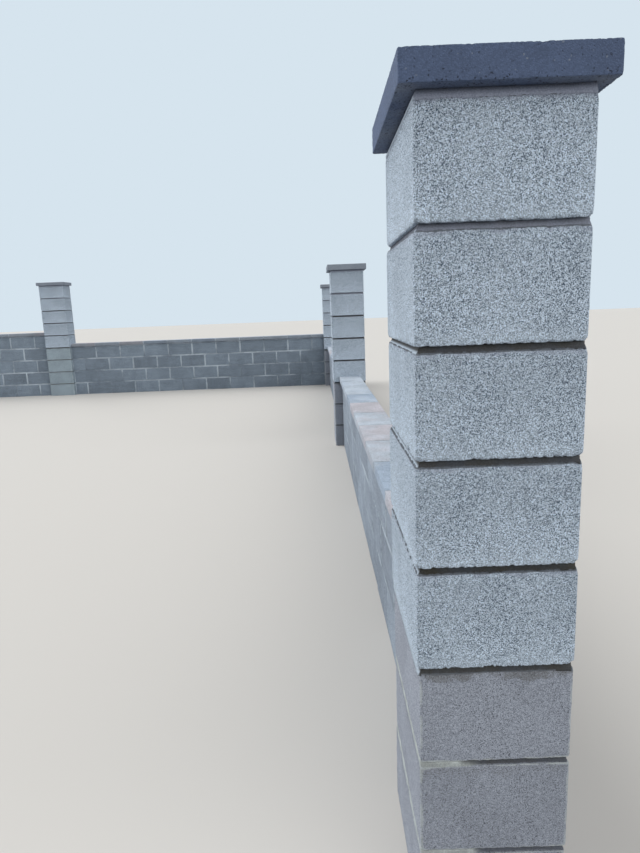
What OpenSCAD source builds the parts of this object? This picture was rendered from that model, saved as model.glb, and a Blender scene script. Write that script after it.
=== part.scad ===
// Garden wall of concrete blocks: low bays between capped piers, on an L-shaped plan.
// Sizes are in millimetres. The front run lies along Y and the return run along X.
// The origin is the middle of the corner pier's foot, on the ground.

/* [Plan] */
// Bays of the front run, from its free end to the corner
front_bays = 2; // [1:1:3]
// Bays of the return run, from the corner to its free end
return_bays = 2; // [1:1:3]
// Whole wall blocks in each course of a bay, which has one half block besides
bay_blocks = 10; // [4:1:14]

/* [Courses] */
// Height of a course, one block and the bed joint on top of it
course_h = 203.2; // [150:0.1:260]
// Length of a wall block with one head joint
block_pitch = 406.4; // [300:0.1:500]
// Thickness of a bed joint
bed_joint = 10; // [6:0.5:16]
// Thickness of a head joint
head_joint = 9.5; // [6:0.5:16]

/* [Walls] */
// Thickness of the walls
wall_t = 143; // [90:1:220]
// Courses of blocks in each bay of the front run
front_courses = 3; // [2:1:6]
// Courses that each bay of the return gains on the bay before it
step_courses = 1; // [0:1:2]

/* [Coping] */
// Width of a coping slab, across the wall
coping_w = 194; // [150:1:260]
// Thickness of a coping slab
coping_h = 50; // [30:1:80]
// Bevel along the upper edges of a coping slab
coping_bevel = 3; // [1:0.5:10]
// Depth to which the mortar between two coping slabs is struck back
coping_strike = 2; // [0.5:0.5:8]

/* [Piers] */
// Width of a pier block, across the wall
pier_w = 295.3; // [240:0.1:400]
// Length of a pier block, along the wall
pier_l = 396.9; // [300:0.1:500]
// Radius of the rough blocks' upright edges
rough_edge_r = 22; // [5:1:38]
// Radius of the smooth lower blocks' upright edges
smooth_edge_r = 4; // [1:1:38]
// Rough blocks in a pier, above the wall beside it
rough_blocks = 5; // [2:1:8]
// Depth to which the mortar between rough blocks is raked out
rake_depth = 9; // [2:0.5:16]
// Depth to which the mortar between the smooth lower blocks and under the cap is struck back
strike_depth = 2; // [0.5:0.5:8]

/* [Pier caps] */
// Thickness of a cap
cap_h = 51; // [35:1:90]
// Overhang of a cap past the pier's faces
cap_overhang = 29; // [10:1:60]
// Bevel along a cap's edges
cap_bevel = 3; // [1:0.5:10]

/* [Hidden] */
$fn = 48;
piers = front_bays + return_bays + 1;
bays = front_bays + return_bays;
corner = front_bays;
block_h = course_h - bed_joint;
bay_clear = (bay_blocks + 0.5) * block_pitch + head_joint;
pier_pitch = bay_clear + pier_l;
return_offset = pier_w / 2 + bay_clear + pier_l / 2;

// Courses of the wall in bay i, and of the smooth blocks in pier i, counted from 0
function bay_courses(i) = i < front_bays ? front_courses : front_courses + (i - front_bays + 1) * step_courses;
function smooth_courses(i) = i <= corner ? front_courses : bay_courses(i - 1);
function pier_courses(i) = smooth_courses(i) + rough_blocks;

// Name of a piece of pier or bay i
function pier_piece(i, piece) = str("pier_", i + 1, "_", piece);
function bay_piece(i, piece) = str("bay_", i + 1, "_", piece);

pier_pieces = ["base", "blocks", "mortar", "cap"];
bay_pieces = ["wall", "coping", "coping_joints"];

// Puts a pier's pieces at pier i. On the return run the long side turns along X.
module at_pier(i) {
    if (i <= corner) translate([0, (i - corner) * pier_pitch, 0]) children();
    else translate([-(i - corner - 1) * pier_pitch, 0, 0]) translate([-return_offset, 0, 0])
        rotate([0, 0, 90]) children();
}

// Puts a bay's pieces, drawn from Y = 0 upwards, between its two piers
module at_bay(i) {
    if (i < front_bays) at_pier(i) translate([0, pier_l / 2, 0]) children();
    else translate([-(i - front_bays) * pier_pitch, 0, 0]) translate([-pier_w / 2, 0, 0])
        rotate([0, 0, 90]) children();
}

// Outline of a pier block with rounded upright edges, drawn in by inset all round
module block_outline(edge_r, inset = 0) {
    w = pier_w - 2 * inset;
    l = pier_l - 2 * inset;
    r = max(edge_r - inset, 1);
    square([w - 2 * r, l], center = true);
    square([w, l - 2 * r], center = true);
    for (x = [-1, 1], y = [-1, 1]) translate([x * (w / 2 - r), y * (l / 2 - r)]) circle(r);
}

// Blocks of courses first to last of a pier, each a solid of its own
module block_stack(first, last, edge_r) {
    for (k = [first : last]) translate([0, 0, k * course_h]) linear_extrude(block_h) block_outline(edge_r);
}

// Outline of a slab with bevelled edges, seen from its end. The lower bevel may be left out.
module slab_profile(width, height, upper, lower) {
    polygon([
        [-width / 2 + lower, 0], [width / 2 - lower, 0],
        [width / 2, lower], [width / 2, height - upper],
        [width / 2 - upper, height], [-width / 2 + upper, height],
        [-width / 2, height - upper], [-width / 2, lower]
    ]);
}

// Turns a profile drawn in X and Y upright, and runs it along Y from 0 to length
module run_along_y(length) {
    translate([0, length, 0]) rotate([90, 0, 0]) linear_extrude(length) children();
}

// Smooth blocks of a pier, as high as the wall beside it
module pier_base(i) {
    color("#7f848b") at_pier(i) block_stack(0, smooth_courses(i) - 1, smooth_edge_r);
}

// Rough blocks of a pier, above the wall
module pier_blocks(i) {
    color("#b4bcc2") at_pier(i) block_stack(smooth_courses(i), pier_courses(i) - 1, rough_edge_r);
}

// Mortar beds of a pier, one on top of each block. Those under rough blocks are raked out,
// and the last one carries the cap.
module pier_mortar(i) {
    first_raked = smooth_courses(i) - 1;
    last = pier_courses(i) - 1;
    color("#8d8a8c") at_pier(i) for (k = [0 : last])
        translate([0, 0, k * course_h + block_h]) linear_extrude(bed_joint)
            if (k < first_raked) block_outline(smooth_edge_r, strike_depth);
            else block_outline(rough_edge_r, k == last ? strike_depth : rake_depth);
}

// Flat cap of a pier, bevelled all round at its upper and lower edges
module pier_cap(i) {
    w = pier_w + 2 * cap_overhang;
    l = pier_l + 2 * cap_overhang;
    color("#474b5c") at_pier(i) translate([0, 0, pier_courses(i) * course_h]) intersection() {
        translate([0, -l / 2, 0]) run_along_y(l) slab_profile(w, cap_h, cap_bevel, cap_bevel);
        rotate([0, 0, 90]) translate([0, -w / 2, 0]) run_along_y(w)
            slab_profile(l, cap_h, cap_bevel, cap_bevel);
    }
}

// Blockwork of a bay, one mass of masonry from pier to pier, with the bed under its coping
module bay_wall(i) {
    color("#6f7a84") at_bay(i) translate([-wall_t / 2, 0, 0])
        cube([wall_t, bay_clear, bay_courses(i) * course_h]);
}

// Ends of coping slab k along a bay. Slab 0 is the half slab, and the others are whole.
function slab_start(k) = head_joint + max(k - 0.5, 0) * block_pitch;
function slab_end(k) = (k + 0.5) * block_pitch;

// Coping slabs of a bay, each a solid of its own
module bay_coping(i) {
    color("#9aa6b4") at_bay(i) translate([0, 0, bay_courses(i) * course_h])
        for (k = [0 : bay_blocks]) translate([0, slab_start(k), 0])
            run_along_y(slab_end(k) - slab_start(k)) slab_profile(coping_w, coping_h, coping_bevel, 0);
}

// Mortar joints between the coping slabs of a bay, and at the piers on either side
module bay_coping_joints(i) {
    joint_w = coping_w - 2 * coping_strike;
    color("#a9a9a8") at_bay(i) translate([-joint_w / 2, 0, bay_courses(i) * course_h])
        for (k = [0 : bay_blocks + 1]) translate([0, k == 0 ? 0 : slab_end(k - 1), 0])
            cube([joint_w, head_joint, coping_h - coping_strike]);
}

for (i = [0 : piers - 1]) {
    pier_base(i);
    pier_blocks(i);
    pier_mortar(i);
    pier_cap(i);
}
for (i = [0 : bays - 1]) {
    bay_wall(i);
    bay_coping(i);
    bay_coping_joints(i);
}
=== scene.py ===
"""Looks of a concrete block garden wall on its frame: blocks, mortar, coping, caps and a plain stage."""
import math
from functools import cache

import bpy
import numpy as np
from bpy.props import FloatProperty, FloatVectorProperty, IntProperty, PointerProperty
from mathutils import Matrix, Vector


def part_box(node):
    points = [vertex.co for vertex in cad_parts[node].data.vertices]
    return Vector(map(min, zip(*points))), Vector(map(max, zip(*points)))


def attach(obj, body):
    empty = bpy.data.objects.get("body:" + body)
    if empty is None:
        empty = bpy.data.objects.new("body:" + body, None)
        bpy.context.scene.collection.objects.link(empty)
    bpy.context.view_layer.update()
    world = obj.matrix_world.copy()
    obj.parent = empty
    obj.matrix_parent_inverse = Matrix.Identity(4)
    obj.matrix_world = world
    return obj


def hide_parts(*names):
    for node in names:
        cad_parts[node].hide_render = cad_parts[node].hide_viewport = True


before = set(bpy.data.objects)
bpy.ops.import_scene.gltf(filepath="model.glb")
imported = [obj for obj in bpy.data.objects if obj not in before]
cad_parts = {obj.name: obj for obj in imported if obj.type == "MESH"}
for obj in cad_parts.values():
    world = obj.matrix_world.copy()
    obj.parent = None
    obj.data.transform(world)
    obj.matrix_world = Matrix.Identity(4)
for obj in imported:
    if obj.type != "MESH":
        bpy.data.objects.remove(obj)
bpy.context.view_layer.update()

bl_info = {
    "name": "Block Garden Wall",
    "version": (1, 0, 0),
    "blender": (4, 5, 0),
    "location": "View3D > Sidebar > Garden Wall",
    "description": "Builds the blocks, mortar, coping and caps of a garden wall round its frame",
    "category": "Object",
}

MM = 0.001

# How the wall is laid out, as its frame has it
ROUGH_COURSES = 5
WHOLE_BLOCKS = 10
HEAD_JOINT = 9.5 * MM
PIERS = sorted(name[: -len("_cap")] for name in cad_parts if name.endswith("_cap"))
BAYS = sorted(name[: -len("_wall")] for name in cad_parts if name.endswith("_wall"))
NEAR_PIER = PIERS[0]
# A pier with its middle at a lower X than this stands on the return run, past the corner
PAST_CORNER = -1.0

# The kinds of pieces, in the order in which each has a hundred seeds of its own
SEEDED = ["rough_block", "smooth_block", "pier_bed", "cap", "wall_block", "wall_mortar", "coping_slab",
          "coping_joint"]


def box_of(node):
    """(size, middle, lowest corner) of a CAD node."""
    low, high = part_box(node)
    return high - low, (low + high) / 2, low


def bay_run(bay):
    """(start, angle, length) of a bay: it runs along its own +Y from start, turned by angle about Z."""
    low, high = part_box(bay + "_wall")
    size, middle = high - low, (low + high) / 2
    if size.y > size.x:
        return Vector((middle.x, low.y, 0)), 0.0, size.y
    return Vector((high.x, middle.y, 0)), math.pi / 2, size.x


COURSE = (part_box("pier_1_cap")[0].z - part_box("pier_1_blocks")[0].z) / ROUGH_COURSES
BED_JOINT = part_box("pier_1_blocks")[0].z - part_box("pier_1_base")[1].z
BLOCK_PITCH = (bay_run("bay_1")[2] - HEAD_JOINT) / (WHOLE_BLOCKS + 0.5)


# Settings


def srgb(red, green, blue):
    """A colour written as 0 to 255, in the linear values that Blender mixes."""
    parts = [v / 255 for v in (red, green, blue)]
    return tuple(v / 12.92 if v <= 0.04045 else ((v + 0.055) / 1.055) ** 2.4 for v in parts)


def length(name, description, default):
    """A size in metres, with its unit."""
    return FloatProperty(name=name, description=description, default=default, min=0.0, max=10.0,
                         precision=4, subtype="DISTANCE", unit="LENGTH")


def share(name, description, default):
    """A number from 0 to 1."""
    return FloatProperty(name=name, description=description, default=default, min=0.0, max=1.0,
                         subtype="FACTOR")


def number(name, description, default):
    """A number without a unit."""
    return FloatProperty(name=name, description=description, default=default)


def angle(name, description, degrees):
    """An angle."""
    return FloatProperty(name=name, description=description, default=math.radians(degrees),
                         subtype="ANGLE", unit="ROTATION")


def colour(name, description, rgb):
    """A colour, given as 0 to 255."""
    return FloatVectorProperty(name=name, description=description, default=srgb(*rgb),
                               min=0.0, max=1.0, size=3, subtype="COLOR")


# What the sizes and colours of the pieces are, each with its kind
FIELDS = {
    "oversize": (length, "How far a block stands out past its CAD box on each side"),
    "edge_radius": (length, "Radius of the upright edges"),
    "corner_wear": (length, "Further rounding where an upright edge meets an arris"),
    "arris_radius": (length, "Rounding of the arrises"),
    "rim": (length, "Width of the rim that mortar smears over"),
    "chips": (length, "How deep the arrises are worn"),
    "ridge": (share, "How much of that depth stands out as crumbs instead"),
    "notches": (length, "How deep the few broken places are"),
    "relief": (length, "How far the faces go in and out"),
    "waviness": (length, "How far the mortar's face goes in and out"),
    "rake": (length, "Depth to which the beds between rough blocks are raked out"),
    "strike": (length, "Greatest depth of the beds between smooth blocks"),
    "cap_strike": (length, "Depth of the bed under a cap, at its head"),
    "overlap": (length, "How far a bed is squeezed down over the arris below it"),
    "step": (length, "Distance between points along an arris or a bed"),
    "far_step": (length, "The same on all piers but the near one"),
    "grain": (length, "Size of a grain"),
    "open": (share, "Share of the face that is pits or gaps between the grains"),
    "speckle": (share, "How much the grains differ"),
    "clouds": (share, "How much the concrete is clouded"),
    "body": (colour, "Colour of the concrete"),
    "pale": (colour, "Colour of the concrete in the bays of the front run"),
    "cool": (colour, "Colour of the concrete in the piers of the return run"),
    "pits": (colour, "Colour down in the gaps"),
    # This colour is also painted light on the undersides of the caps.
    "dusty": (colour, "Colour of the concrete where dust lies on it"),
    "blue": (colour, "Colour of the bluest slabs"),
    "cream": (colour, "Colour of the palest slabs"),
    "pink": (colour, "Colour of the pinkest slabs"),
    # This colour is also painted shade on the slabs' sides, most on the return run.
    "side": (colour, "Colour of dirt on the sides of the slabs"),
    "fresh": (colour, "Colour of clean mortar"),
    "plain": (colour, "Colour of mortar that is neither clean nor stained"),
    "stained": (colour, "Colour of stained mortar"),
    "damp": (colour, "Colour of damp patches in stained mortar"),
}


def titled(key):
    """A key in the words that a user reads."""
    return key.replace("_", " ").title()


def fields(**defaults):
    """The properties of a group, from the table of fields and a default for each."""
    return {key: FIELDS[key][0](titled(key), FIELDS[key][1], default) for key, default in defaults.items()}


class MasonrySizes(bpy.types.PropertyGroup):
    """Sizes that the blocks, joints and slabs share."""

    course: length("Course", "Height of a block and the bed joint on top of it", COURSE)
    pitch: length("Pitch", "Length of a wall block with one head joint", BLOCK_PITCH)
    bed_joint: length("Bed Joint", "Thickness of the mortar under a block", BED_JOINT)
    head_joint: length("Head Joint", "Thickness of the mortar between two blocks", HEAD_JOINT)
    laying_error: length("Laying Error", "How far a unit may sit off its line", 0.8 * MM)
    laying_turn: angle("Laying Turn", "How far a unit may be turned off its line", 0.18)
    near_twist: angle("Near Pier Twist", "How far the near pier is turned off its line", -0.5)
    near_shift: length("Near Pier Shift", "How far its rough blocks and cap sit to the yard side", 2 * MM)
    near_lift: length("Near Cap Lift", "How much thicker the bed under the near cap is", 3.5 * MM)
    near_extra: length("Near Cap Extra", "How much thicker the near cap is than the others", 2.6 * MM)
    seed: IntProperty(name="Seed", description="Seed of everything that varies by chance", default=7)


class RoughBlocks(bpy.types.PropertyGroup):
    """The coarse pale blocks in the upper part of a pier."""

    __annotations__ = fields(
        oversize=2 * MM, edge_radius=5 * MM, corner_wear=10 * MM, arris_radius=3 * MM, chips=8 * MM,
        ridge=0.3, notches=11 * MM, relief=0.6 * MM, step=2.5 * MM, far_step=6 * MM, grain=1.3 * MM,
        open=0.21, speckle=0.42, clouds=0.04, body=(178, 192, 206), pits=(42, 62, 84))


class SmoothBlocks(bpy.types.PropertyGroup):
    """The moulded grey blocks in the lower part of a pier."""

    __annotations__ = fields(
        oversize=0.0, edge_radius=4 * MM, corner_wear=3 * MM, arris_radius=2 * MM, chips=2 * MM,
        notches=4 * MM, relief=0.4 * MM, step=4 * MM, far_step=8 * MM, grain=1.3 * MM, open=0.07,
        speckle=0.34, clouds=0.05, body=(143, 149, 160), cool=(140, 154, 163), pits=(62, 66, 74))


class WallBlocks(bpy.types.PropertyGroup):
    """The blocks of the bays. Body is their colour on the return run."""

    __annotations__ = fields(
        arris_radius=2 * MM, rim=9 * MM, chips=1 * MM, grain=2.6 * MM, open=0.07, speckle=0.15, clouds=0.08,
        pale=(140, 151, 164), body=(125, 138, 151), pits=(58, 66, 76))


class PierBeds(bpy.types.PropertyGroup):
    """The mortar beds of the piers."""

    __annotations__ = fields(
        rake=9 * MM, strike=8 * MM, cap_strike=6 * MM, overlap=4 * MM, relief=2.5 * MM, step=7 * MM,
        fresh=(194, 202, 200), plain=(150, 157, 174), stained=(84, 88, 93), damp=(80, 77, 66))


class WallMortar(bpy.types.PropertyGroup):
    """The flush mortar of the bays and between the coping slabs."""

    __annotations__ = fields(waviness=1.5 * MM, step=30 * MM, fresh=(200, 212, 222), stained=(126, 137, 149))


class PierCaps(bpy.types.PropertyGroup):
    """The dark flat caps of the piers."""

    __annotations__ = fields(
        edge_radius=3 * MM, corner_wear=3 * MM, arris_radius=1 * MM, chips=3 * MM, ridge=0.4, notches=3 * MM,
        relief=0.4 * MM, step=2.5 * MM, far_step=6 * MM, grain=2.6 * MM, open=0.006, speckle=0.12,
        clouds=0.06, body=(80, 94, 121), dusty=(138, 146, 156), pits=(40, 46, 60))


class CopingSlabs(bpy.types.PropertyGroup):
    """The slabs that cover the bays."""

    __annotations__ = fields(
        arris_radius=3 * MM, chips=2.5 * MM, relief=0.6 * MM, step=14 * MM, grain=2.6 * MM, open=0.05,
        speckle=0.17, clouds=0.08, blue=(157, 172, 190), cream=(177, 188, 200), pink=(181, 180, 188),
        side=(96, 104, 114), pits=(104, 110, 120))


class Stage(bpy.types.PropertyGroup):
    """Camera, lamps, floor and backdrop."""

    camera_place: FloatVectorProperty(name="Camera Place", description="Where the camera stands",
                                      default=(-0.3254, -10.6051, 1.2912), subtype="XYZ", unit="LENGTH")
    camera_pitch: angle("Camera Pitch", "How far the camera looks down", math.degrees(0.1894))
    camera_yaw: angle("Camera Yaw", "How far the camera looks to the street side of +Y", math.degrees(0.0052))
    camera_roll: angle("Camera Roll", "How far the camera is tilted about its view", math.degrees(-0.0384))
    lens: number("Lens", "Focal length on a 36 mm sensor, in millimetres", 25.98)
    yard_lamp: number("Yard Lamp", "Strength of the lamp on the yard side", 0.75)
    street_lamp: number("Street Lamp", "Strength of the lamp in front", 0.5)
    ambient: number("Ambient", "Strength of the light from all round", 0.5)
    floor: colour("Floor", "Colour of the floor as the camera sees it", (206, 204, 200))
    bounce: share("Bounce", "How much of the light that falls on it the floor sends back", 0.35)
    backdrop: colour("Backdrop", "Colour of the backdrop as the camera sees it", (214, 228, 238))


SECTIONS = {
    "masonry": MasonrySizes,
    "rough_blocks": RoughBlocks,
    "smooth_blocks": SmoothBlocks,
    "wall_blocks": WallBlocks,
    "pier_beds": PierBeds,
    "wall_mortar": WallMortar,
    "pier_caps": PierCaps,
    "coping_slabs": CopingSlabs,
    "stage": Stage,
}


class GardenWallSettings(bpy.types.PropertyGroup):
    """All settings of the wall."""

    __annotations__ = {name: PointerProperty(type=kind) for name, kind in SECTIONS.items()}


def settings():
    """The scene's settings of the wall."""
    return bpy.context.scene.garden_wall


# Node trees


def pick(ends, key):
    """The enabled socket with that name, or the key-th enabled one."""
    live = [s for s in ends if s.enabled]
    return live[key] if isinstance(key, int) else next(s for s in live if s.name == key)


class Wire:
    """A node's output. Sums, products and the like of wires and numbers add Math nodes.

    Another output of the same node is taken by its name in square brackets.
    """

    def __init__(self, nodes, socket):
        self.nodes = nodes
        self.socket = socket

    def __getitem__(self, name):
        return Wire(self.nodes, pick(self.socket.node.outputs, name))

    def __add__(self, other):
        return self.nodes.math("ADD", self, other)

    def __sub__(self, other):
        return self.nodes.math("SUBTRACT", self, other)

    def __rsub__(self, other):
        return self.nodes.math("SUBTRACT", other, self)

    def __mul__(self, other):
        return self.nodes.math("MULTIPLY", self, other)

    def __truediv__(self, other):
        return self.nodes.math("DIVIDE", self, other)

    def __rtruediv__(self, other):
        return self.nodes.math("DIVIDE", other, self)


class Nodes:
    """Adds nodes to a tree. An input takes a plain value or a wire."""

    def __init__(self, tree):
        self.tree = tree

    def add(self, kind, inputs=None, **options):
        """Adds a node, feeds its inputs by name or number, and returns its first output."""
        node = self.tree.nodes.new(kind)
        for name, value in options.items():
            setattr(node, name, value)
        for key, value in (inputs or {}).items():
            self.feed(pick(node.inputs, key), value)
        return Wire(self, pick(node.outputs, 0))

    def feed(self, socket, value):
        """Links a wire to a socket, or sets the socket's own value."""
        if isinstance(value, Wire):
            self.tree.links.new(value.socket, socket)
        elif socket.type == "RGBA":
            socket.default_value = (*value[:3], 1.0)
        else:
            socket.default_value = value

    def math(self, operation, *values):
        """A Math node's result."""
        return self.add("ShaderNodeMath", dict(enumerate(values)), operation=operation)

    def vector(self, operation, *values):
        """A Vector Math node's result."""
        return self.add("ShaderNodeVectorMath", dict(enumerate(values)), operation=operation)

    def combine(self, x=0.0, y=0.0, z=0.0):
        """A vector of three numbers."""
        return self.add("ShaderNodeCombineXYZ", {"X": x, "Y": y, "Z": z})

    def ramp(self, value, low, high, to_low=0.0, to_high=1.0):
        """A value turned smoothly from low..high into to_low..to_high."""
        return self.add("ShaderNodeMapRange", {"Value": value, "From Min": low, "From Max": high,
                                               "To Min": to_low, "To Max": to_high},
                        interpolation_type="SMOOTHSTEP")

    def between(self, mask, first, second):
        """A mask turned smoothly from 0..1 into first..second."""
        return self.ramp(mask, 0.0, 1.0, first, second)

    def mix(self, factor, first, second, mode="MIX"):
        """Two colours mixed by a factor."""
        return self.add("ShaderNodeMix", {"Factor": factor, "A": first, "B": second},
                        data_type="RGBA", blend_type=mode)

    def blend(self, factor, first, second):
        """Two numbers mixed by a factor."""
        return self.add("ShaderNodeMix", {"Factor": factor, "A": first, "B": second}, data_type="FLOAT")

    def noise(self, vector, scale, detail=2.0, roughness=0.5, seed=0.0):
        """Fractal noise, from 0 to 1 with its mean at 0.5."""
        return self.add("ShaderNodeTexNoise", {"Vector": vector, "W": seed, "Scale": scale, "Detail": detail,
                                               "Roughness": roughness}, noise_dimensions="4D")

    def use(self, group, inputs):
        """Adds a node group and returns its first output."""
        return self.add(group.bl_idname.replace("Tree", "Group"), inputs, node_tree=group)


def sockets(**kinds):
    """The kind of each of the sockets that are listed by name under it."""
    return {name: kind for kind, names in kinds.items() for name in names.split(", ")}


class Group(Nodes):
    """A node group under way. An input of it is taken by its name in square brackets."""

    def __init__(self, name, tree_type, inputs, outputs):
        super().__init__(bpy.data.node_groups.new(name, tree_type))
        for side, named in (("INPUT", inputs), ("OUTPUT", outputs)):
            for socket_name, kind in named.items():
                self.tree.interface.new_socket(socket_name, in_out=side, socket_type="NodeSocket" + kind)
        self.entry = self.tree.nodes.new("NodeGroupInput")
        self.leave = self.tree.nodes.new("NodeGroupOutput")

    def __getitem__(self, name):
        return Wire(self, self.entry.outputs[name])

    def done(self, **outputs):
        """Feeds the group's outputs and returns its tree."""
        for name, value in outputs.items():
            self.feed(self.leave.inputs[name], value)
        return self.tree


# Shader node groups, each built once and shared


@cache
def grain_group():
    """Grains of concrete with gaps among them. Pits is 1 in a gap, Grains is a number for each grain."""
    g = Group("Concrete Grain", "ShaderNodeTree", sockets(Vector="Vector", Float="Size, Open"),
              sockets(Float="Pits, Grains, Height"))
    scale = 1.0 / g["Size"]
    cells = g.add("ShaderNodeTexVoronoi", {"Vector": g["Vector"], "Scale": scale})
    chance = g.add("ShaderNodeSeparateColor", {"Color": cells["Color"]})
    patchy = g.noise(g["Vector"], scale * 0.2, detail=3.0, roughness=0.8)
    gap = chance["Green"] + (patchy - 0.5) * 0.3
    limit = 1.0 - g["Open"]
    pits = g.ramp(gap, limit - 0.06, limit + 0.06)
    rise = (1.0 - cells["Distance"]) * (chance["Red"] * 0.6 + 0.4)
    return g.done(Pits=pits, Grains=chance["Red"], Height=rise - pits)


@cache
def cloud_group():
    """Large soft patches, as concrete has from its moulding and drying. Mask runs from 0 to 1."""
    g = Group("Soft Clouds", "ShaderNodeTree", sockets(Vector="Vector", Float="Size, Seed"),
              sockets(Float="Mask"))
    clouds = g.noise(g["Vector"], 1.0 / g["Size"], detail=4.0, roughness=0.6, seed=g["Seed"])
    return g.done(Mask=g.ramp(clouds, 0.35, 0.65))


@cache
def smear_group():
    """Mortar smeared over a unit, patchily. Where is 1 by the joint and 0 where the smear has to end."""
    g = Group("Mortar Smear", "ShaderNodeTree", sockets(Vector="Vector", Float="Where, Cover"),
              sockets(Float="Mask"))
    patchy = g.noise(g["Vector"], 26.0, detail=4.0, roughness=0.65, seed=3.0)
    limit = 1.0 - g["Cover"]
    return g.done(Mask=g.ramp(g["Where"] + (patchy - 0.5) * 1.8, limit, limit + 0.3))


# Materials


class Finish(Nodes):
    """A material under way, on its object's own coordinates."""

    def __init__(self, name, roughness):
        self.material = bpy.data.materials.new(name)
        self.material.use_nodes = True
        super().__init__(self.material.node_tree)
        self.shader = self.tree.nodes["Principled BSDF"]
        self.shader.inputs["Specular IOR Level"].default_value = 0.25
        self.shader.inputs["Roughness"].default_value = roughness
        self.place = self.add("ShaderNodeTexCoord")["Object"]

    def done(self, shade):
        """Feeds the colour to the shader and returns the material."""
        self.feed(self.shader.inputs["Base Color"], shade)
        return self.material

    def bump(self, height, distance):
        """Feeds a height to the shader's normal."""
        normal = self.add("ShaderNodeBump", {"Height": height, "Distance": distance, "Strength": 1.0})
        self.feed(self.shader.inputs["Normal"], normal)

    def carried(self, name):
        """A number that the mesh carries."""
        return self.add("ShaderNodeAttribute", attribute_name=name)["Fac"]

    def shaded(self, base, level):
        """A colour made lighter or darker by a number round 1."""
        return self.mix(1.0, base, self.combine(level, level, level), mode="MULTIPLY")

    def varied(self, base, mask, amount):
        """A colour that a mask makes darker where it is 0 and lighter where it is 1."""
        return self.shaded(base, self.between(mask, 1.0 - amount, 1.0 + amount))

    def near_head(self, height):
        """1 at the head of a unit, fading to 0 that share of its height further down."""
        return self.ramp(self.carried("level"), 1.0 - height, 1.0)

    def near_foot(self, height):
        """1 at the foot of a unit, fading to 0 that share of its height further up."""
        return self.ramp(self.carried("level"), height, 0.0)

    def cloud(self, size, seed):
        """A soft cloudy mask."""
        return self.use(cloud_group(), {"Vector": self.place, "Size": size, "Seed": seed})

    def smear(self, where, cover):
        """A mask of smeared mortar."""
        return self.use(smear_group(), {"Vector": self.place, "Where": where, "Cover": cover})

    def grain(self, look, open_share):
        """Grains of a look's size, with Pits, Grains and Height."""
        return self.use(grain_group(), {"Vector": self.place, "Size": look.grain, "Open": open_share})

    def concrete(self, look, base, open_share=None, calm=0.0):
        """Grain, gaps, clouds and bump that every kind of block and slab has. Returns the colour.

        Where calm is 1 the gaps are shallow.
        """
        grain = self.grain(look, look.open if open_share is None else open_share)
        shade = self.varied(base, self.cloud(0.16, seed=1.0), look.clouds)
        shade = self.varied(shade, grain["Grains"], look.speckle)
        self.bump(grain["Height"], look.grain * 0.35)
        return self.mix(grain["Pits"] * (0.95 - calm), shade, look.pits)

    def joint_state(self):
        """1 where the wall's joints were left clean and bright, 0 where they were dulled."""
        return self.cloud(0.5, seed=9.0) * self.between(self.carried("run"), 0.45, 1.0)

    def sandy(self, shade, relief):
        """Sand in the face of mortar. Returns the colour."""
        sand = self.noise(self.place, 380.0, roughness=0.7)
        self.bump(sand, relief)
        return self.shaded(shade, self.ramp(sand, 0.3, 0.7, 0.8, 1.2))


CONCRETE_ROUGHNESS = 0.92
MORTAR_ROUGHNESS = 0.95
CAP_ROUGHNESS = 0.8


def rough_block_material(look, mortar):
    """Open coarse concrete, pale, with dark gaps between its grains, and mortar wash, dirt and painted shade
    at its head.
    """
    f = Finish("rough_block", CONCRETE_ROUGHNESS)
    # A little lighter at the foot of each block and darker at its head.
    base = f.shaded(f.varied(look.body, f.carried("tint"), 0.03), f.between(f.carried("level"), 1.06, 0.93))
    shade = f.concrete(look, base, calm=f.near_foot(0.2) * 0.5)
    # Dirt and painted shade under the joint above: patches of the upper part go towards the plain mortar
    # colour.
    dirt = f.smear(f.near_head(0.16), cover=0.3)
    shade = f.mix(dirt * 0.45, shade, mortar.plain)
    # Mortar washed over the head, with painted shade under the raked joint: the top few millimetres go to the
    # stained mortar colour.
    wash = f.smear(f.near_head(0.035), cover=0.6)
    return f.done(f.mix(wash * 0.85, shade, mortar.stained))


def smooth_block_material(look, mortar):
    """Close moulded concrete, mid grey, with small pits, mortar smeared from the joints and a stained top,
    whose head also has mortar wash and painted shade.
    """
    f = Finish("smooth_block", CONCRETE_ROUGHNESS)
    base = f.mix(f.carried("run"), look.body, look.cool)
    shade = f.concrete(look, f.varied(base, f.carried("tint"), 0.2))
    top = f.carried("top")
    dirt = f.smear(f.near_head(0.3), cover=0.35)
    shade = f.mix(dirt * f.between(top, 0.15, 0.45), shade, mortar.damp)
    # Mortar wash and painted shade under the raked joint: a thin band at the head of the top block goes dark.
    head_wash_and_shade = f.smear(f.near_head(0.04) * top, cover=0.6)
    shade = f.mix(head_wash_and_shade * 0.75, shade, mortar.stained)
    rim = f.smear(f.carried("arris") - f.near_head(0.1) * top, cover=0.2)
    shade = f.mix(rim * 0.4, shade, mortar.fresh)
    haze = f.smear(f.near_foot(0.08), cover=0.25)
    return f.done(f.mix(haze * 0.4, shade, mortar.fresh))


def wall_block_material(look, mortar):
    """Close moulded concrete, blue grey, with mortar smeared over the rims and faint level streaks."""
    f = Finish("wall_block", CONCRETE_ROUGHNESS)
    flattened = f.vector("MULTIPLY", f.place, (2.0, 2.0, 34.0))
    streaks = f.noise(flattened, 2.0, detail=3.0, roughness=0.6, seed=4.0)
    base = f.varied(f.mix(f.carried("run"), look.pale, look.body), f.carried("tint"), 0.1)
    shade = f.concrete(look, f.shaded(base, f.ramp(streaks, 0.3, 0.7, 0.92, 1.08)))
    rim = f.smear(f.carried("arris"), cover=f.between(f.joint_state(), 0.0, 0.75))
    return f.done(f.mix(rim * 0.65, shade, mortar.fresh))


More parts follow.
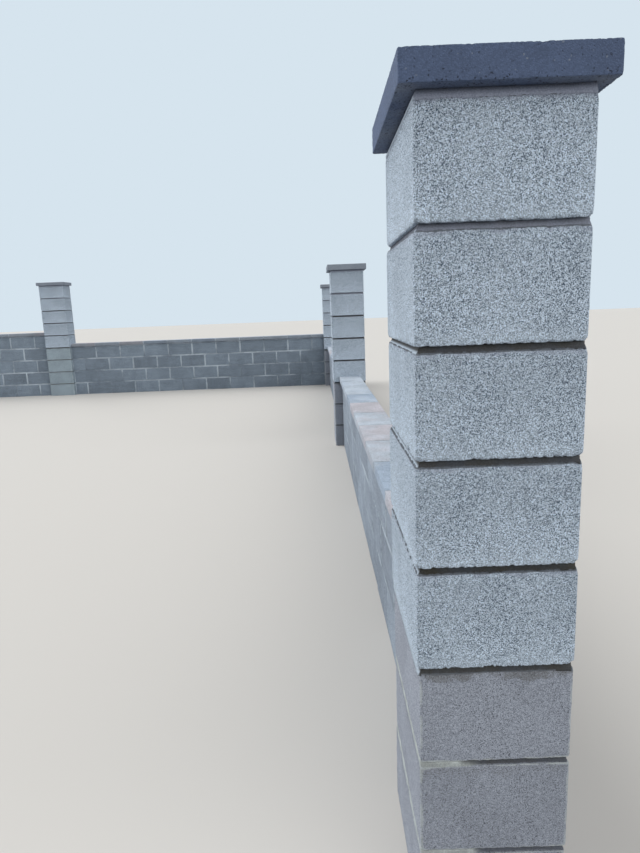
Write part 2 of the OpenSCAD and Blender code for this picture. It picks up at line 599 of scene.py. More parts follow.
def pier_mortar_material(look, block):
    """Mortar of the piers, stained in patches, paler where it is flush, like the blocks on its sides, and
    darkened with painted shade in the joints and under the unit above.
    """
    f = Finish("pier_mortar", MORTAR_ROUGHNESS)
    level = f.carried("level")
    patches = f.cloud(0.05, seed=5.0)
    stained = f.mix(patches * 0.8, look.stained, look.damp)
    # Painted shade down in the raked recess: stained mortar is darkened to 0.55 in its lower part, easing to
    # 0.8 at its head.
    stained = f.shaded(stained, f.ramp(level, 0.4, 1.0, 0.55, 0.8))
    # Painted shadow under the block or cap above: plain mortar darkens towards its head.
    plain = f.shaded(look.plain, f.ramp(level, 0.4, 1.0, 0.9, 0.6))
    shade = f.mix(f.carried("tint"), stained, plain)
    shade = f.mix(f.carried("clean") * f.between(patches, 0.8, 0.5), shade, look.fresh)
    wash = f.carried("wash") * f.ramp(level, 0.6, 0.25)
    return f.done(f.sandy(f.mix(wash, shade, f.shaded(block.body, 0.9)), 0.8 * MM))


def wall_mortar_material(look):
    """Flush mortar of the bays, bright in some places and dull in others."""
    f = Finish("wall_mortar", MORTAR_ROUGHNESS)
    clean = f.joint_state() * f.between(f.cloud(0.12, seed=6.0), 0.55, 1.0)
    return f.done(f.sandy(f.mix(clean, look.stained, look.fresh), 0.5 * MM))


def cap_material(look):
    """Dense dark concrete with few pits, most along the lower arris, dust on the far caps, and painted light
    from below in patches underneath.
    """
    f = Finish("cap_slab", CAP_ROUGHNESS)
    level = f.carried("level")
    # Painted light from below: patches of the underside are turned towards the pale colour, like the dust of
    # the far caps.
    under = f.ramp(level, 0.012, 0.0) * f.cloud(0.2, seed=7.0)
    dust = f.math("MAXIMUM", f.carried("tint"), under * 0.45)
    pitted = f.ramp(level, 0.3, 0.02, look.open, 0.06)
    shade = f.concrete(look, f.mix(dust, look.body, look.dusty), open_share=pitted)
    specks = f.ramp(f.grain(look, open_share=0.0)["Grains"], 0.99, 1.0, 0.0, 0.5)
    return f.done(f.mix(specks, shade, look.dusty))


def coping_material(look):
    """Pale slabs that run from blue through cream to pink, each one a little clouded, with sides darkened by
    dirt and painted shade.
    """
    f = Finish("coping_slab", CONCRETE_ROUGHNESS)
    mood = f.carried("tint") * 0.8 + f.cloud(0.3, seed=2.0) * 0.3
    base = f.mix(f.ramp(mood, 0.15, 0.5), look.blue, look.cream)
    base = f.mix(f.ramp(mood, 0.6, 0.95), base, look.pink)
    # Dirt and painted shade on the sides: darker below the top face, most on the return run, whose sides are
    # in shade.
    dirt = f.ramp(f.carried("level"), 1.0, 0.93) * f.between(f.carried("run"), 0.12, 0.6)
    return f.done(f.concrete(look, f.mix(dirt, base, look.side)))


# Blanks: plain units, drawn once, that the geometry trees lay and weather. A ring of one is (inset, height,
# weight), and its weight is 1 on an arris.

# Weights of the rings next to an arris
FADE = (0.7, 0.35, 0.1)
# How far in from the outline a flat end begins, on pier units, most others, and the beds and heads of bays
PIER_LIP = 40 * MM
LIP = 30 * MM
BED_LIP = 20 * MM
HEAD_LIP = 3 * MM
# Rim of the head joints, and radius of the upright edges of mortar in piers and in bays
HEAD_RIM = 2 * MM
PIER_BED_RADIUS = 6 * MM
MORTAR_RADIUS = 1 * MM
# How far inside the smooth blocks' faces the beds between them stay
BED_INSET = 1 * MM
# A step longer than any side, which leaves the sides whole between their rims
NO_STEPS = 1.0


def stops(span, step, rim):
    """Where a straight side is cut, as shares of it: its ends, a rim inside each, and even steps between."""
    inner = max(int(round((span - 2 * rim) / step)), 1)
    return np.concatenate(([0.0], np.linspace(rim, span - rim, inner + 1), [span])) / span


def outline(size_x, size_y, round_r, inset, turns, step, rim):
    """Points round a rectangle drawn in by inset, its corners rounded by round_r and cut at the angles turns.

    Returns these, and 1 for each point of a corner and 0 for the rest.
    """
    corner = np.array([size_x, size_y]) / 2 - inset - round_r
    signs = ((1, 1), (-1, 1), (-1, -1), (1, -1), (1, 1))
    points, corners = [], []
    for quarter in range(4):
        turned = turns + quarter * math.pi / 2
        arc = corner * signs[quarter] + round_r * np.column_stack((np.cos(turned), np.sin(turned)))
        after = (quarter + 1) * math.pi / 2
        end = corner * signs[quarter + 1] + round_r * np.array([math.cos(after), math.sin(after)])
        along = stops((size_x, size_y)[quarter % 2], step, rim)[1:-1, None]
        points += [arc, arc[-1] * (1 - along) + end * along]
        corners += [np.ones(len(arc)), np.zeros(len(along))]
    return np.concatenate(points), np.concatenate(corners)


def mirrored(foot, height, side=()):
    """Rings of a unit from its foot to its head, which mirrors the foot, with those of its side between."""
    return [*foot, *side, *((inset, height - z, weight) for inset, z, weight in reversed(foot))]


def unit_rows(height, arris, row_step, lip, fade):
    """Rings of a unit with rounded arrises, whose weight fades out at the three distances of fade."""
    foot = [(lip, 0.0, 0.0), (arris + fade[0], 0.0, FADE[0])]
    for a in (math.pi / 2, math.pi / 4, 0):
        foot.append((arris * (1 - math.cos(a)), arris * (1 - math.sin(a)), 1.0))
    foot += [(0.0, arris + reach, weight) for reach, weight in zip(fade, FADE)]
    low, high = arris + fade[-1], height - arris - fade[-1]
    rows = max(int(round((high - low) / row_step)), 2)
    return mirrored(foot, height, [(0.0, z, 0.0) for z in np.linspace(low, high, rows + 1)[1:-1]])


def blank(size_x, size_y, rows, radius, step, rim, sharp_corners=False, wear=0.0, head_share=1.0):
    """A unit as a closed mesh of rings, with its middle at the origin and its foot at Z = 0.

    It carries how near each point is to an arris, and how far up the unit it is. Wear rounds its corners
    further at the foot, and a share of it rounds them at the head.
    """
    turns = np.linspace(0, math.pi / 2, max(int((radius + wear / 2) * math.pi / 2 / step), 2) + 1)
    height = rows[-1][1]
    points, arris, level = [], [], []
    for inset, z, weight in rows:
        extra = wear * (1.0 if z < height / 2 else head_share)
        round_r = max(radius - inset, radius * 0.25) + (extra if inset else extra * weight ** 2)
        ring, corners = outline(size_x, size_y, round_r, inset, turns, step, rim)
        points.append(np.column_stack((ring, np.full(len(ring), z))))
        arris.append(np.maximum(corners * sharp_corners, weight))
        level.append(np.full(len(ring), z / height))
    count, last = len(ring), (len(rows) - 1) * len(ring)
    faces = [(low + j, low + (j + 1) % count, low + count + (j + 1) % count, low + count + j)
             for low in range(0, last, count) for j in range(count)]
    faces += [tuple(reversed(range(count))), tuple(range(last, last + count))]
    mesh = bpy.data.meshes.new("unit")
    mesh.from_pydata(np.concatenate(points).tolist(), [], faces)
    for label, values in (("arris", arris), ("level", level)):
        mesh.attributes.new(label, "FLOAT", "POINT").data.foreach_set("value", np.concatenate(values))
    mesh.polygons.foreach_set("use_smooth", [True] * (len(faces) - 2) + [False] * 2)
    mesh.update()
    return mesh


# Geometry node trees

WEAR = sockets(Float="Chips, Ridge, Notches, Relief")
LAYING = sockets(Geometry="Unit", Vector="Place", Int="Courses, Seed", Material="Material",
                 Float="Course, Turn, Twist, Laying Error, Laying Turn, Tint Low, Tint High, Run")
BOND = sockets(Float="Pitch, Joint", Int="Whole Units, Half First")


class GeometryTree(Group):
    """A tree under way that changes a geometry."""

    def __init__(self, name, inputs):
        super().__init__(name, "GeometryNodeTree", inputs, sockets(Geometry="Geometry"))

    def moved_along(self, geometry, direction, distance):
        """Moves a geometry's points along a direction."""
        way = self.add("ShaderNodeVectorMath", {0: direction, "Scale": distance}, operation="SCALE")
        return self.add("GeometryNodeSetPosition", {"Geometry": geometry, "Offset": way})

    def named(self, name):
        """A number that the geometry carries."""
        return self.add("GeometryNodeInputNamedAttribute", {"Name": name}, data_type="FLOAT")

    def stored(self, geometry, name, value, domain):
        """The geometry with a number stored on it."""
        inputs = {"Geometry": geometry, "Name": name, "Value": value}
        return self.add("GeometryNodeStoreNamedAttribute", inputs, domain=domain, data_type="FLOAT")


class LayingTree(GeometryTree):
    """A tree under way that lays copies of a unit, and turns and places them together."""

    def __init__(self, name, inputs=()):
        super().__init__(name, {**LAYING, **WEAR, **dict(inputs)})

    def chance(self, size, seed):
        """Three random numbers from -size to size for each copy."""
        most = self.combine(size, size, size)
        least = self.vector("MULTIPLY", most, (-1.0, -1.0, -1.0))
        return self.add("FunctionNodeRandomValue", {"Min": least, "Max": most, "Seed": self["Seed"] + seed},
                        data_type="FLOAT_VECTOR")

    def laid(self, points, scale=(1.0, 1.0, 1.0)):
        """The unit on points, a little off its line. Each copy has a tint and the number of its run."""
        turn = self.vector("MULTIPLY", self.chance(self["Laying Turn"], 1.0), (0.0, 0.0, 1.0))
        turn = self.vector("ADD", turn, self.combine(z=self["Twist"]))
        rotation = self.add("FunctionNodeEulerToRotation", {0: turn})
        copies = self.add("GeometryNodeInstanceOnPoints", {"Points": points, "Instance": self["Unit"],
                                                           "Scale": scale, "Rotation": rotation})
        shift = self.vector("MULTIPLY", self.chance(self["Laying Error"], 2.0), (1.0, 1.0, 0.0))
        copies = self.add("GeometryNodeTranslateInstances", {"Instances": copies, "Translation": shift,
                                                             "Local Space": False})
        tint = self.add("FunctionNodeRandomValue", {"Min": self["Tint Low"], "Max": self["Tint High"],
                                                    "Seed": self["Seed"] + 3.0}, data_type="FLOAT")
        return self.stored(self.stored(copies, "run", self["Run"], "INSTANCE"), "tint", tint, "INSTANCE")

    def stacked(self):
        """The unit on each course, one above the other."""
        return self.laid(self.add("GeometryNodeMeshLine", {"Count": self["Courses"],
                                                           "Offset": self.combine(z=self["Course"])}))

    def either(self, condition, no, yes):
        """One of two numbers."""
        choices = {"Switch": condition, "False": no, "True": yes}
        return self.add("GeometryNodeSwitch", choices, input_type="FLOAT")

    def bonded(self, per_course, centre_of):
        """Points of courses in running bond, and the number of each one's unit in its course.

        centre_of(k) says how far along its course unit k of it is.
        """
        index = self.add("GeometryNodeInputIndex")
        course = self.math("FLOOR", (index + 0.5) / per_course)
        k = index - course * per_course
        run = self["Joint"] + (self["Whole Units"] + 0.5) * self["Pitch"]
        from_top = self["Courses"] - 1.0 - course
        turned = self.math("MODULO", from_top + (1.0 - self["Half First"]), 2.0)
        centre = centre_of(k)
        along = self.either(self.math("GREATER_THAN", turned, 0.5), centre, run - centre)
        place = self.combine(y=along, z=course * self["Course"])
        count = self["Courses"] * per_course
        return self.add("GeometryNodePoints", {"Count": count, "Position": place}), k

    def real(self, copies):
        """Turns and places the copies, and makes them real."""
        turn = self.add("FunctionNodeEulerToRotation", {0: self.combine(z=self["Turn"])})
        placed = self.add("GeometryNodeTransform", {"Geometry": copies, "Translation": self["Place"],
                                                    "Rotation": turn})
        return self.add("GeometryNodeRealizeInstances", {"Geometry": placed})

    def finished(self, geometry):
        """Gives the geometry its material and returns the tree."""
        return self.done(Geometry=self.add("GeometryNodeSetMaterial", {"Geometry": geometry,
                                                                       "Material": self["Material"]}))

    def weathered(self, copies):
        """Makes the copies real, weathers and finishes them, and returns the tree."""
        wear = {name: self[name] for name in (*WEAR, "Seed")}
        return self.finished(self.use(weather_group(), {"Geometry": self.real(copies), **wear}))


@cache
def weather_group():
    """Wears the arrises of a unit, breaks a few notches into them and roughens its faces.

    It only goes inwards, unless Ridge lets crumbs stand out from an arris.
    """
    g = GeometryTree("Weathered Unit", {**sockets(Geometry="Geometry", Int="Seed"), **WEAR})
    place, arris, seed = g.add("GeometryNodeInputPosition"), g.named("arris"), g["Seed"]
    lumps = g.ramp(g.noise(place, 55.0, seed=seed), 0.4, 0.75)
    crumbs = g.ramp(g.noise(place, 150.0, detail=1.0, roughness=0.7, seed=seed), 0.25, 0.75)
    chips = (lumps * 0.4 + crumbs * 0.6 - g["Ridge"]) * g["Chips"] * arris
    notches = g.ramp(g.noise(place, 32.0, seed=seed + 0.5), 0.68, 0.76) * g["Notches"] * arris
    waves = g.noise(place, 30.0, seed=seed) * g["Relief"]
    depth = g.math("MAXIMUM", chips, notches) + waves
    return g.done(Geometry=g.moved_along(g["Geometry"], g.add("GeometryNodeInputNormal"), depth * -1.0))


@cache
def stack_tree():
    """A stack of units, one on each course, as in a pier. Top is 1 on the last of them."""
    t = LayingTree("Pier Stack")
    last = t.math("GREATER_THAN", t.add("GeometryNodeInputIndex"), t["Courses"] - 1.5)
    return t.weathered(t.stored(t.stacked(), "top", last, "INSTANCE"))


@cache
def bed_tree():
    """A stack of mortar beds, raked back by a depth that comes and goes, and less at the foot and street end.

    On their sides, and all round where Filled is 1, only a groove at their head is left open. Wash is how
    much the sides look like the blocks.
    """
    t = LayingTree("Pier Beds", sockets(Float="Rake, Flush Share, Filled, Wash"))
    place, level = t.add("GeometryNodeInputPosition"), t.named("level")
    along_x = t.vector("DOT_PRODUCT", t.vector("SUBTRACT", place, t["Place"]), (1.0, 0.0, 0.0))
    stretches = t.noise(t.vector("MULTIPLY", place, (1.0, 1.0, 4.0)), 4.5, detail=1.0, seed=t["Seed"])
    limit = 1.3 - t["Flush Share"] * 1.5
    flush = t.ramp(stretches - along_x * 3.0, limit, limit + 0.05)
    outwards = t.vector("NORMALIZE", t.vector("MULTIPLY", t.add("GeometryNodeInputNormal"), (1.0, 1.0, 0.0)))
    side = t.ramp(t.math("ABSOLUTE", t.vector("DOT_PRODUCT", outwards, (1.0, 0.0, 0.0))), 0.3, 0.9)
    side = t.add("GeometryNodeBlurAttribute", {"Value": side, "Iterations": 3}, data_type="FLOAT")
    kept = t.blend(side, t.ramp(level, 0.3, 0.65, 0.45, 1.0), t.ramp(level, 0.1, 0.6, 0.1, 1.0))
    kept = t.blend(t["Filled"], kept, t.ramp(level, 0.3, 0.9, 0.1, 1.0)) * (1.0 - flush)
    crumbs = t.noise(place, 90.0, roughness=0.6, seed=t["Seed"])
    relief = t["Relief"] * t.between(t.math("MAXIMUM", side, t["Filled"]), 1.0, 0.4)
    depth = (kept * t["Rake"] + crumbs * relief) * t.ramp(along_x, 0.1, 0.14, 1.0, 0.5)
    depth = depth * t.ramp(t.named("arris"), 0.0, 0.4)
    beds = t.stored(t.real(t.stacked()), "clean", flush, "POINT")
    beds = t.stored(beds, "wash", t.ramp(side, 0.5, 0.95) * t["Wash"], "POINT")
    return t.finished(t.moved_along(beds, outwards, depth * -1.0))


@cache
def bond_tree():
    """Courses of units in running bond. A course has one half unit, first or last by turns."""
    t = LayingTree("Running Bond", BOND)
    points, k = t.bonded(t["Whole Units"] + 1.0,
                         lambda k: t["Joint"] * 0.5 + t.math("MAXIMUM", k, 0.25) * t["Pitch"])
    half = (t["Pitch"] * 0.5 - t["Joint"]) / (t["Pitch"] - t["Joint"])
    shorter = t.either(t.math("LESS_THAN", k, 0.5), 1.0, half)
    return t.weathered(t.laid(points, t.combine(1.0, shorter, 1.0)))


@cache
def head_joint_tree():
    """The head joints of courses in running bond, one at each end and one between each two units."""
    t = LayingTree("Head Joints", BOND)
    points, k = t.bonded(t["Whole Units"] + 2.0,
                         lambda k: t["Joint"] * 0.5 + t.math("MAXIMUM", k - 0.5, 0.0) * t["Pitch"])
    return t.weathered(t.laid(points))


# Laying


def lay(name, unit, tree, look, material, place, kind, number, courses=1, turn=0.0, twist=0.0, loose=1.0,
        tint=(0.0, 1.0), extra=None):
    """Runs a tree on a unit and returns the result as a plain mesh object at the origin.

    Kind and number, of the pier or bay, choose the seed. Loose is the share of the laying errors that the
    copies have, and extra holds the inputs that only this tree has.
    """
    masonry = settings().masonry
    inputs = {
        "Place": place, "Turn": turn, "Twist": twist, "Courses": courses, "Course": masonry.course,
        "Laying Error": masonry.laying_error * loose, "Laying Turn": masonry.laying_turn * loose,
        "Tint Low": tint[0], "Tint High": tint[1], "Run": float(turn != 0 or place.x < PAST_CORNER),
        "Seed": masonry.seed + 100 * SEEDED.index(kind) + 10 * number, "Material": material,
        **{name: getattr(look, name.lower(), 0.0) for name in WEAR}, **(extra or {}),
    }
    piece = bpy.data.objects.new(name, unit)
    bpy.context.scene.collection.objects.link(piece)
    modifier = piece.modifiers.new("Laying", "NODES")
    modifier.node_group = tree
    known = {item.name: item for item in tree.interface.items_tree if item.in_out == "INPUT"}
    for key, value in inputs.items():
        modifier[known[key].identifier] = value
    made = bpy.data.meshes.new_from_object(piece.evaluated_get(bpy.context.evaluated_depsgraph_get()))
    piece.modifiers.clear()
    piece.data = made
    made.name = name
    return piece


def joined(name, parts):
    """Joins mesh objects into the first, and names it."""
    with bpy.context.temp_override(active_object=parts[0], selected_editable_objects=parts):
        bpy.ops.object.join()
    parts[0].name = parts[0].data.name = name
    return parts[0]


def settle(piece, node):
    """Hides the CAD node that a finished piece stands in for, and lets it ride with the wall."""
    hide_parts(node)
    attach(piece, "root")


def stance(pier):
    """(twist, shift to the yard side, lift and extra thickness of the cap): 0 on all but the near pier."""
    masonry = settings().masonry
    if pier == NEAR_PIER:
        return masonry.near_twist, masonry.near_shift, masonry.near_lift, masonry.near_extra
    return 0.0, 0.0, 0.0, 0.0


def step_on(pier, look):
    """How far apart the points of a pier's unit are."""
    return look.step if pier == NEAR_PIER else look.far_step


def pier_units(name, pier, node, look, material, kind, tint=(0.0, 1.0), shift=0.0, sharp_corners=False):
    """A stack of pier blocks in the place of a CAD node."""
    masonry, (size, middle, low) = settings().masonry, box_of(node)
    rows = unit_rows(masonry.course - masonry.bed_joint, look.arris_radius, row_step=18 * MM, lip=PIER_LIP,
                     fade=(2 * MM, 5 * MM, 10 * MM))
    step, wider = step_on(pier, look), 2 * look.oversize
    unit = blank(size.x + wider, size.y + wider, rows, look.edge_radius, step, 2 * step, sharp_corners,
                 look.corner_wear, head_share=0.5)
    place = Vector((middle.x - shift, middle.y, low.z))
    courses = round((size.z + masonry.bed_joint) / masonry.course)
    return lay(name, unit, stack_tree(), look, material, place, kind, PIERS.index(pier), courses,
               twist=stance(pier)[0], tint=tint)


def across(node):
    """How thick the part of a bay is that a CAD node holds."""
    size = box_of(node)[0]
    return min(size.x, size.y)


def bay_units(name, bay, node, unit, tree, look, material, kind, loose=1.0, extra=None):
    """Units or head joints of a bay in running bond, in the place of a CAD node.

    The top course of the return run's walls and every coping have their half unit first.
    """
    masonry, (start, turn) = settings().masonry, bay_run(bay)[:2]
    low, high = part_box(node)
    bond = {"Whole Units": WHOLE_BLOCKS, "Pitch": masonry.pitch, "Joint": masonry.head_joint,
            "Half First": int(turn != 0 or not node.endswith("_wall"))}
    courses = max(round((high - low).z / masonry.course), 1)
    return lay(name, unit, tree, look, material, start + Vector((0, 0, low.z)), kind, BAYS.index(bay),
               courses, turn=turn, loose=loose, extra={**bond, **(extra or {})})


# Operators


class GARDEN_WALL_OT_rough_blocks(bpy.types.Operator):
    """Lay the coarse pale blocks in the upper part of each pier"""

    bl_idname = "garden_wall.rough_blocks"
    bl_label = "Rough Pier Blocks"

    def execute(self, context):
        look = settings().rough_blocks
        material = rough_block_material(look, settings().pier_beds)
        for pier in PIERS:
            piece = pier_units(pier + "_rough_blocks", pier, pier + "_blocks", look, material, "rough_block",
                               shift=stance(pier)[1])
            settle(piece, pier + "_blocks")
        return {"FINISHED"}


class GARDEN_WALL_OT_smooth_blocks(bpy.types.Operator):
    """Lay the moulded grey blocks in the lower part of each pier"""

    bl_idname = "garden_wall.smooth_blocks"
    bl_label = "Smooth Pier Blocks"

    def execute(self, context):
        look = settings().smooth_blocks
        material = smooth_block_material(look, settings().pier_beds)
        for pier in PIERS:
            # The smooth blocks of the far piers are painted lighter, lifting the shade where they stand
            # beside the walls.
            tint = (0.55, 0.68) if pier == NEAR_PIER else (0.65, 0.95)
            piece = pier_units(pier + "_smooth_blocks", pier, pier + "_base", look, material, "smooth_block",
                               tint, sharp_corners=True)
            settle(piece, pier + "_base")
        return {"FINISHED"}


class GARDEN_WALL_OT_pier_beds(bpy.types.Operator):
    """Lay the mortar beds of each pier, flush in places and raked in others"""

    bl_idname = "garden_wall.pier_beds"
    bl_label = "Pier Mortar Beds"

    def execute(self, context):
        look, masonry, rough = settings().pier_beds, settings().masonry, settings().rough_blocks
        material = pier_mortar_material(look, rough)
        for number, pier in enumerate(PIERS):
            size, middle, low = box_of(pier + "_blocks")
            smooth = round(low.z / masonry.course)
            twist, shift, lift = stance(pier)[:3]
            near, last = pier == NEAR_PIER, smooth + ROUGH_COURSES
            struck = look.strike * (1.0 if near else 0.4)
            # Each kind of bed: the first course above it, how many there are, depth, tints and finish
            kinds = {
                "struck": (1, smooth - 1, struck, (0.15, 0.3), {"Flush Share": 0.5 * near, "Wash": 0.2}),
                "raked": (smooth, ROUGH_COURSES - 1, look.rake, (0.0, 0.08), {"Wash": 1.0}),
                "top_bed": (last - 1, 1, look.rake, (0.6, 0.6), {"Wash": 1.0}),
                "cap_bed": (last, 1, look.cap_strike, (1.0, 1.0), {"Wash": 1.0, "Filled": 1.0}),
            }
            parts = []
            for label, (first, count, depth, tint, manner) in kinds.items():
                thick = masonry.bed_joint + look.overlap + (lift if label == "cap_bed" else 0.0)
                rows = mirrored([(PIER_LIP, 0.0, 0.0), (0.0, 0.0, 1.0), (0.0, thick / 3, 1.0)], thick)
                spread, moved = (-2 * BED_INSET, 0.0) if label == "struck" else (2 * rough.oversize, shift)
                unit = blank(size.x + spread, size.y + spread, rows, PIER_BED_RADIUS, look.step, look.step)
                foot = first * masonry.course - masonry.bed_joint - look.overlap
                parts.append(lay(f"{pier}_{label}", unit, bed_tree(), look, material,
                                 Vector((middle.x - moved, middle.y, foot)), "pier_bed", number, count,
                                 twist=twist, loose=0.0, tint=tint, extra={**manner, "Rake": depth}))
            settle(joined(pier + "_beds", parts), pier + "_mortar")
        return {"FINISHED"}


class GARDEN_WALL_OT_pier_caps(bpy.types.Operator):
    """Set the dark flat cap on each pier"""

    bl_idname = "garden_wall.pier_caps"
    bl_label = "Pier Caps"

    def execute(self, context):
        look = settings().pier_caps
        material = cap_material(look)
        for number, pier in enumerate(PIERS):
            size, middle, low = box_of(pier + "_cap")
            twist, shift, lift, extra = stance(pier)
            lean, crumb = math.sin(abs(twist)), look.ridge * look.chips
            width = size.x - max(size.y * lean - 2 * shift, 0.0) - 2 * crumb
            depth = size.y - size.x * lean - 2 * crumb
            step = step_on(pier, look)
            rows = unit_rows(size.z - crumb + extra, look.arris_radius, 2 * step, lip=LIP,
                             fade=(2 * MM, 4 * MM, 7 * MM))
            unit = blank(width, depth, rows, look.edge_radius, step, 2 * step, True, look.corner_wear)
            tint = (0.0, 0.0) if pier == NEAR_PIER else (0.8, 1.0)
            place = Vector((middle.x - shift, middle.y, low.z + lift))
            piece = lay(pier + "_capstone", unit, stack_tree(), look, material, place, "cap", number,
                        twist=twist, loose=0.0, tint=tint)
            settle(piece, pier + "_cap")
        return {"FINISHED"}


class GARDEN_WALL_OT_wall_blocks(bpy.types.Operator):
    """Lay the blocks of each bay in running bond"""

    bl_idname = "garden_wall.wall_blocks"
    bl_label = "Wall Blocks"

    def execute(self, context):
        look, masonry = settings().wall_blocks, settings().masonry
        material = wall_block_material(look, settings().wall_mortar)
        arris, rim = look.arris_radius, look.rim
        rows = mirrored([(LIP, 0.0, 1.0), (arris, 0.0, 1.0), (0.0, arris, 1.0), (0.0, rim, 0.0)],
                        masonry.course - masonry.bed_joint)
        for bay in BAYS:
            node = bay + "_wall"
            unit = blank(across(node), masonry.pitch - masonry.head_joint, rows, arris, NO_STEPS, rim, True)
            piece = bay_units(bay + "_blocks", bay, node, unit, bond_tree(), look, material, "wall_block")
            settle(piece, node)
        return {"FINISHED"}


class GARDEN_WALL_OT_wall_mortar(bpy.types.Operator):
    """Fill the bed joints and head joints of each bay"""

    bl_idname = "garden_wall.wall_mortar"
    bl_label = "Wall Mortar"

    def execute(self, context):
        look, masonry = settings().wall_mortar, settings().masonry
        material = wall_mortar_material(look)
        height = masonry.course - masonry.bed_joint
        bed_rows = mirrored([(BED_LIP, 0.0, 0.0), (0.0, 0.0, 1.0)], masonry.bed_joint)
        head_rows = mirrored([(HEAD_LIP, 0.0, 0.0), (0.0, 0.0, 1.0), (0.0, height / 3, 1.0)], height)
        wavy = {"Chips": look.waviness}
        for number, bay in enumerate(BAYS):
            node = bay + "_wall"
            start, turn, run = bay_run(bay)
            bed = blank(across(node), run, bed_rows, MORTAR_RADIUS, look.step, look.step)
            middle = Matrix.Rotation(turn, 3, "Z") @ Vector((0, run / 2, height)) + start
            beds = lay(bay + "_beds", bed, stack_tree(), look, material, middle, "wall_mortar", number,
                       round(box_of(node)[0].z / masonry.course), turn=turn, loose=0.0, extra=wavy)
            head = blank(across(node), masonry.head_joint, head_rows, MORTAR_RADIUS, NO_STEPS, HEAD_RIM)
            heads = bay_units(bay + "_heads", bay, node, head, head_joint_tree(), look, material,
                              "wall_mortar", loose=0.0, extra=wavy)
            settle(joined(bay + "_mortar", [beds, heads]), node)
        return {"FINISHED"}


class GARDEN_WALL_OT_coping_slabs(bpy.types.Operator):
    """Bed the coping slabs on each bay"""

    bl_idname = "garden_wall.coping_slabs"
    bl_label = "Coping Slabs"

    def execute(self, context):
        look, masonry = settings().coping_slabs, settings().masonry
        material = coping_material(look)
        for bay in BAYS:
            node = bay + "_coping"
            rows = unit_rows(box_of(node)[0].z, look.arris_radius, 2 * look.step, lip=LIP,
                             fade=(2 * MM, 5 * MM, 9 * MM))
            unit = blank(across(node), masonry.pitch - masonry.head_joint, rows, look.arris_radius, look.step,
                         look.step, True)
            piece = bay_units(bay + "_coping_slabs", bay, node, unit, bond_tree(), look, material,
                              "coping_slab")
            settle(piece, node)
        return {"FINISHED"}


class GARDEN_WALL_OT_coping_joints(bpy.types.Operator):
    """Fill the joints between the coping slabs"""

    bl_idname = "garden_wall.coping_joints"
    bl_label = "Coping Joints"

    def execute(self, context):
        look, masonry = settings().wall_mortar, settings().masonry
        material = wall_mortar_material(look)
        for bay in BAYS:
            node = bay + "_coping_joints"
            height = box_of(node)[0].z
            rows = [(HEAD_LIP, 0.0, 0.0), (0.0, 0.0, 1.0), (0.0, height, 1.0), (HEAD_LIP, height, 0.5)]
            unit = blank(across(node), masonry.head_joint, rows, MORTAR_RADIUS, 15 * MM, HEAD_RIM)
            piece = bay_units(bay + "_coping_mortar", bay, node, unit, head_joint_tree(), look, material,
                              "coping_joint", loose=0.0, extra={"Chips": look.waviness})
            settle(piece, node)
        return {"FINISHED"}


def add_sun(name, direction, strength, softness):
    """A lamp that shines from a direction over the whole wall and looks so many degrees wide."""
    lamp = bpy.data.lights.new(name, "SUN")
    lamp.energy = strength * math.pi
    lamp.angle = math.radians(softness)
    holder = bpy.data.objects.new(name, lamp)
    holder.rotation_mode = "QUATERNION"
    holder.rotation_quaternion = Vector(direction).to_track_quat("Z", "Y")
    bpy.context.scene.collection.objects.link(holder)


def background_rays(n):
    """1 for rays that show the background to the camera, 0 for rays that gather light."""
    path = n.add("ShaderNodeLightPath")
    seen = path["Is Camera Ray"] + path["Is Glossy Ray"] + path["Is Transmission Ray"]
    return n.math("MINIMUM", seen, 1.0)


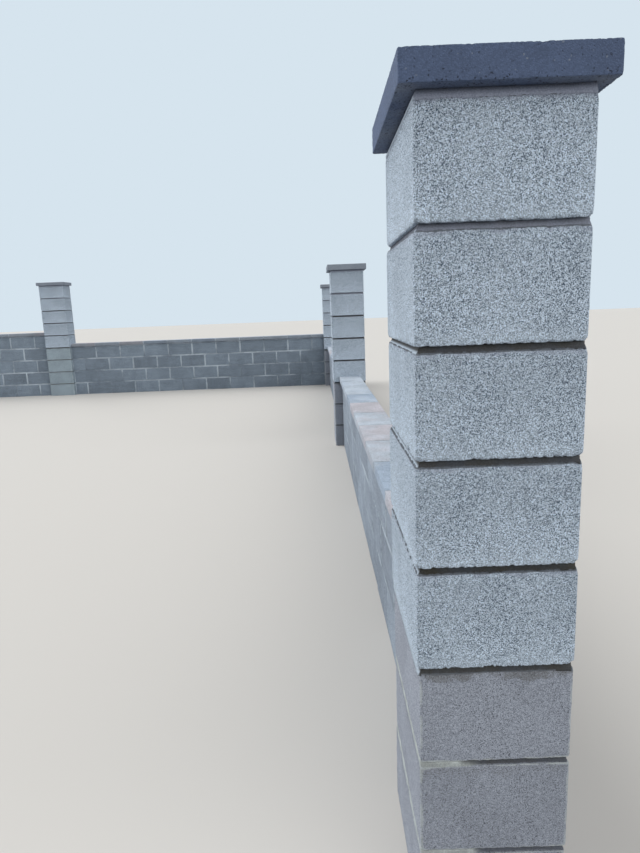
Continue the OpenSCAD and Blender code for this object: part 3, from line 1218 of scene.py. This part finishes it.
class GARDEN_WALL_OT_stage(bpy.types.Operator):
    """Set the camera, the lamps, the floor and the backdrop"""

    bl_idname = "garden_wall.stage"
    bl_label = "Stage"

    def execute(self, context):
        scene, stage = bpy.context.scene, settings().stage
        scene.view_settings.view_transform = "Standard"

        lens = bpy.data.cameras.new("camera")
        lens.lens = stage.lens
        lens.sensor_width = 36.0
        lens.clip_end = 200.0
        camera = bpy.data.objects.new("camera", lens)
        camera.matrix_world = (Matrix.Translation(stage.camera_place)
                               @ Matrix.Rotation(-stage.camera_yaw, 4, "Z")
                               @ Matrix.Rotation(math.pi / 2 - stage.camera_pitch, 4, "X")
                               @ Matrix.Rotation(stage.camera_roll, 4, "Z"))
        scene.collection.objects.link(camera)
        scene.camera = camera

        add_sun("yard_lamp", (-0.8, 0.35, 0.55), stage.yard_lamp, softness=60)
        add_sun("street_lamp", (0.55, -0.7, 0.5), stage.street_lamp, softness=80)

        world = bpy.data.worlds.new("world")
        world.use_nodes = True
        scene.world = world
        n = Nodes(world.node_tree)
        sky = world.node_tree.nodes["Background"]
        seen = background_rays(n)
        n.feed(sky.inputs["Color"], n.mix(seen, (1.0, 1.0, 1.0), stage.backdrop))
        n.feed(sky.inputs["Strength"], n.between(seen, stage.ambient, 1.0))

        reach = 60.0
        ground = bpy.data.meshes.new("floor")
        ground.from_pydata([(-reach, -reach, 0), (reach, -reach, 0), (reach, reach, 0), (-reach, reach, 0)],
                           [], [(0, 1, 2, 3)])
        floor = bpy.data.objects.new("floor", ground)
        scene.collection.objects.link(floor)
        f = Finish("floor", roughness=1.0)
        ground.materials.append(f.done(f.mix(background_rays(f), (stage.bounce,) * 3, stage.floor)))
        return {"FINISHED"}


OPERATORS = [
    GARDEN_WALL_OT_stage,
    GARDEN_WALL_OT_rough_blocks,
    GARDEN_WALL_OT_smooth_blocks,
    GARDEN_WALL_OT_pier_beds,
    GARDEN_WALL_OT_pier_caps,
    GARDEN_WALL_OT_wall_blocks,
    GARDEN_WALL_OT_wall_mortar,
    GARDEN_WALL_OT_coping_slabs,
    GARDEN_WALL_OT_coping_joints,
]


class VIEW3D_PT_garden_wall(bpy.types.Panel):
    """The wall's operators and settings."""

    bl_label = "Garden Wall"
    bl_space_type = "VIEW_3D"
    bl_region_type = "UI"
    bl_category = "Garden Wall"

    def draw(self, context):
        for operator in OPERATORS:
            self.layout.operator(operator.bl_idname)
        for name, kind in SECTIONS.items():
            box = self.layout.box()
            box.label(text=titled(name))
            for key in kind.__annotations__:
                box.prop(getattr(settings(), name), key)


CLASSES = [*SECTIONS.values(), GardenWallSettings, *OPERATORS, VIEW3D_PT_garden_wall]


def register():
    for cls in CLASSES:
        bpy.utils.register_class(cls)
    bpy.types.Scene.garden_wall = PointerProperty(type=GardenWallSettings)


def unregister():
    del bpy.types.Scene.garden_wall
    for cls in reversed(CLASSES):
        bpy.utils.unregister_class(cls)


def main():
    """Builds the stage and every piece."""
    register()
    for operator in OPERATORS:
        family, name = operator.bl_idname.split(".")
        getattr(getattr(bpy.ops, family), name)()


if __name__ == "__main__":
    main()
